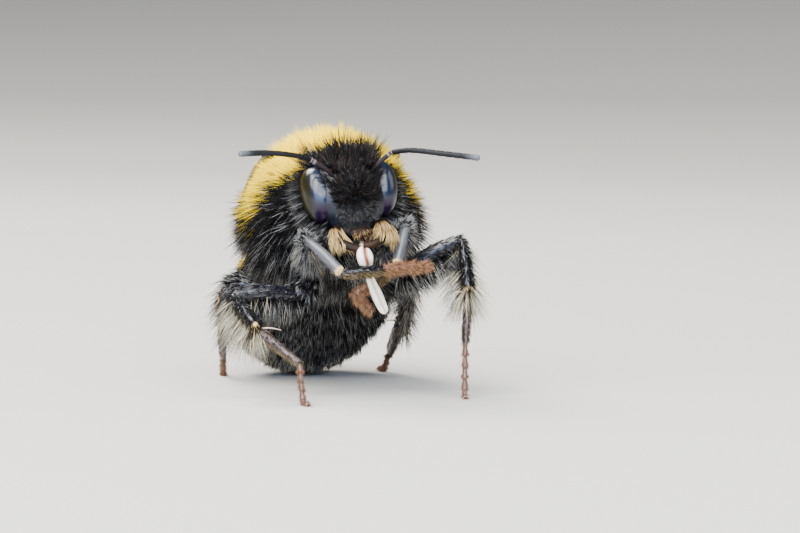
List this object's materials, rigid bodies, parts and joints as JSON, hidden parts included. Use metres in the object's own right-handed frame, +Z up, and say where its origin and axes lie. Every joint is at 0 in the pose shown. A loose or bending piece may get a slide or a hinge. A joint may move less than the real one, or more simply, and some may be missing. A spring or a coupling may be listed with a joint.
{
  "type": "bumblebee",
  "caption": "Life-size still model of a queen bumblebee standing and cleaning its tongue with its raised forelegs.",
  "frame": {"origin": "on the floor, below the middle of the model's box", "axes": "+Z up; the bee faces -Y; its left side is at +X"},
  "size_m": [0.0138, 0.0236, 0.0151],
  "materials": {
    "coat_black": "dense black hair with grey tips",
    "coat_yellow": "dense bright yellow hair",
    "coat_white": "dense off-white hair",
    "shell_black": "satin black shell",
    "eye": "polished, finely faceted",
    "wing": "thin smoky membrane with dark veins",
    "jaw_amber": "straw-coloured fringe over dark glossy jaw",
    "tongue": "cream, waxy",
    "foot_brown": "red-brown, short golden hair"
  },
  "bodies": {
    "root": {"abdomen_1": "coat_black", "abdomen_2": "coat_yellow", "abdomen_3": "coat_black", "abdomen_4": "coat_white", "abdomen_5": "coat_white", "abdomen_6": "coat_white", "eye_left": "eye", "eye_right": "eye", "flagellum_left": "shell_black", "flagellum_right": "shell_black", "fore_left_basitarsus": "shell_black", "fore_left_femur": "shell_black", "fore_left_hip": "shell_black", "fore_left_tarsus": "foot_brown", "fore_left_tibia": "shell_black", "fore_right_basitarsus": "shell_black", "fore_right_femur": "shell_black", "fore_right_hip": "shell_black", "fore_right_tarsus": "foot_brown", "fore_right_tibia": "shell_black", "forewing_left": "wing", "forewing_right": "wing", "head": "coat_black", "hind_left_basitarsus": "shell_black", "hind_left_femur": "shell_black", "hind_left_hip": "shell_black", "hind_left_tarsus": "foot_brown", "hind_left_tibia": "shell_black", "hind_right_basitarsus": "shell_black", "hind_right_femur": "shell_black", "hind_right_hip": "shell_black", "hind_right_tarsus": "foot_brown", "hind_right_tibia": "shell_black", "hindwing_left": "wing", "hindwing_right": "wing", "labrum": "jaw_amber", "mandible_left": "jaw_amber", "mandible_right": "jaw_amber", "mid_left_basitarsus": "shell_black", "mid_left_femur": "shell_black", "mid_left_hip": "shell_black", "mid_left_tarsus": "foot_brown", "mid_left_tibia": "shell_black", "mid_right_basitarsus": "shell_black", "mid_right_femur": "shell_black", "mid_right_hip": "shell_black", "mid_right_tarsus": "foot_brown", "mid_right_tibia": "shell_black", "proboscis": "tongue", "scape_left": "shell_black", "scape_right": "shell_black", "tegula_left": "shell_black", "tegula_right": "shell_black", "thorax": "coat_black"}
  },
  "joints": []
}
